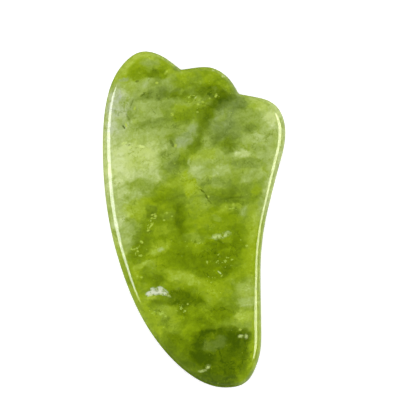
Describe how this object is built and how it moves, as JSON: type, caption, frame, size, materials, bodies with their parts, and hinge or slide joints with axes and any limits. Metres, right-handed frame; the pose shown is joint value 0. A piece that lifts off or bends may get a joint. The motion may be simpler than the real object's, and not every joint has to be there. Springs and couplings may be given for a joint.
{
  "type": "gua sha board",
  "caption": "Flat polished stone massage scraper with a lobed upper end, a bulging long edge, a hollow long edge, a rounded tail and a smooth round rim.",
  "frame": {"origin": "under the middle of the outline's box, on the surface that the board lies on", "axes": "+Y along the board towards its lobed end, +X across it towards its hollow edge, +Z out of its upper face"},
  "size_m": [0.0516, 0.095, 0.006],
  "materials": {
    "green_stone": "polished"
  },
  "bodies": {
    "root": {"stone_board": "green_stone"}
  },
  "joints": []
}
